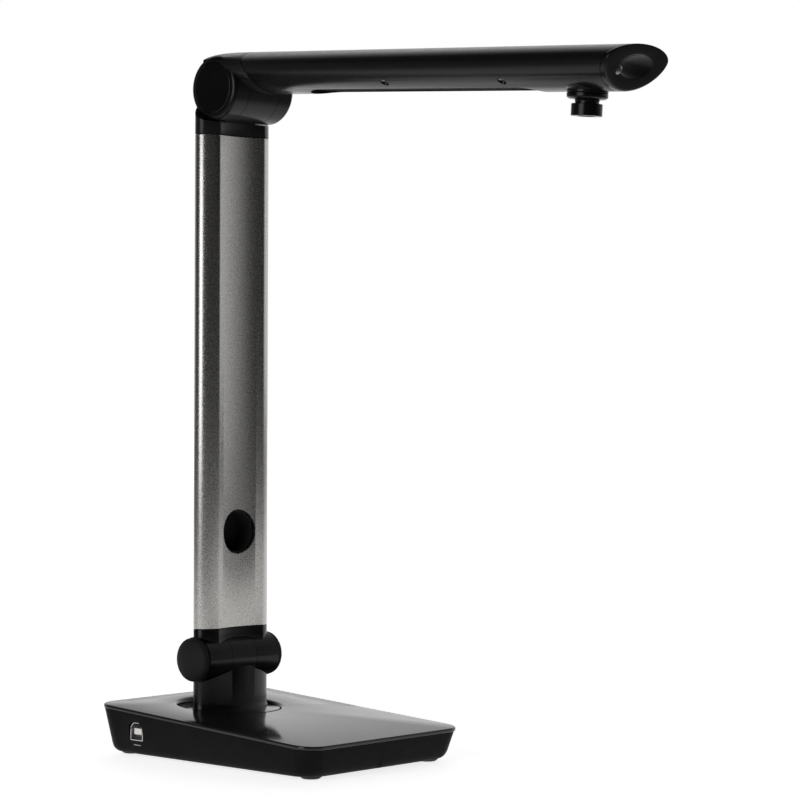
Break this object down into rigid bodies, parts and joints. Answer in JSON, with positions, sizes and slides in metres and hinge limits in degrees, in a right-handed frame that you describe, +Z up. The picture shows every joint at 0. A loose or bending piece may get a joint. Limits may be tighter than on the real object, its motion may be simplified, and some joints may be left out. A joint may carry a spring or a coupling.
{
  "type": "document camera",
  "caption": "Folding document camera: weighted wedge base with a turntable, silver hinged column and hinged arm with a downward camera head.",
  "frame": {"origin": "middle of the bounding box, on the surface the feet stand on", "axes": "+Z up, +X the way the arm and the camera point, +Y across the width"},
  "size_m": [0.3244, 0.1174, 0.3766],
  "materials": {
    "satin_black": "satin moulded black, fine texture",
    "gloss_black": "glossy black with a soft reflection",
    "soft_black": "soft-touch matt black",
    "silver": "bead-blasted anodised silver",
    "steel": "bright steel",
    "dark_steel": "dark plated steel",
    "rubber": "matt rubber",
    "nylon": "white plastic",
    "board": "green circuit board",
    "glass": "coated lens glass",
    "light": "clear light window"
  },
  "bodies": {
    "base": {"base_housing": "satin_black", "base_top_plate": "gloss_black", "base_bottom_cover": "satin_black", "ballast_plate": "dark_steel", "usb_socket_shell": "steel", "usb_socket_tongue": "nylon", "main_board": "board", "swivel_washer": "nylon", "foot_rear_left": "rubber", "foot_rear_right": "rubber", "foot_front_left": "rubber", "foot_front_right": "rubber", "bottom_screw_1": "dark_steel", "bottom_screw_2": "dark_steel", "bottom_screw_3": "dark_steel", "bottom_screw_4": "dark_steel"},
    "turntable": {"swivel_disc": "gloss_black", "swivel_retainer": "steel", "foot_post": "satin_black", "lower_hinge_shaft": "steel"},
    "column": {"column_extrusion": "silver", "lower_collar": "satin_black", "head_nest_cup": "soft_black", "top_cap": "satin_black", "upper_hinge_shaft": "steel", "lower_hinge_washer_left": "steel", "lower_hinge_washer_right": "steel", "lower_hinge_cap_left": "soft_black", "lower_hinge_cap_right": "soft_black"},
    "arm": {"arm_knuckle": "satin_black", "arm_upper_shell": "satin_black", "arm_lower_cover": "satin_black", "underside_strip": "gloss_black", "end_cap": "satin_black", "status_light": "light", "sensor_board": "board", "upper_hinge_disc_left": "satin_black", "upper_hinge_disc_right": "satin_black", "upper_hinge_washer_left": "steel", "upper_hinge_washer_right": "steel", "arm_screw_1": "dark_steel", "arm_screw_2": "dark_steel", "arm_screw_3": "dark_steel", "arm_screw_4": "dark_steel"},
    "camera_head": {"camera_head": "satin_black", "lens_glass": "glass"},
    "focus_ring": {"focus_ring": "satin_black"}
  },
  "joints": [
    {"name": "base_swivel", "type": "hinge", "parent": "base", "child": "turntable", "pos_m": [-0.11961, 0, 0.023], "axis": [0, 0, 1], "range_deg": [-90, 90]},
    {"name": "column_fold", "type": "hinge", "parent": "turntable", "child": "column", "pos_m": [-0.11931, 0, 0.051], "axis": [0, 1, 0], "range_deg": [0, 82]},
    {"name": "arm_fold", "type": "hinge", "parent": "column", "child": "arm", "pos_m": [-0.11061, 0, 0.357], "axis": [0, 1, 0], "range_deg": [-45, 86.6]},
    {"name": "head_turn", "type": "hinge", "parent": "arm", "child": "camera_head", "pos_m": [0.12666, 0, 0.34102], "axis": [0.0588, 0, 0.9983], "range_deg": [-90, 90]},
    {"name": "focus_turn", "type": "hinge", "parent": "camera_head", "child": "focus_ring", "pos_m": [0.12666, 0, 0.34102], "axis": [0.0588, 0, 0.9983], "range_deg": [-60, 60]}
  ]
}
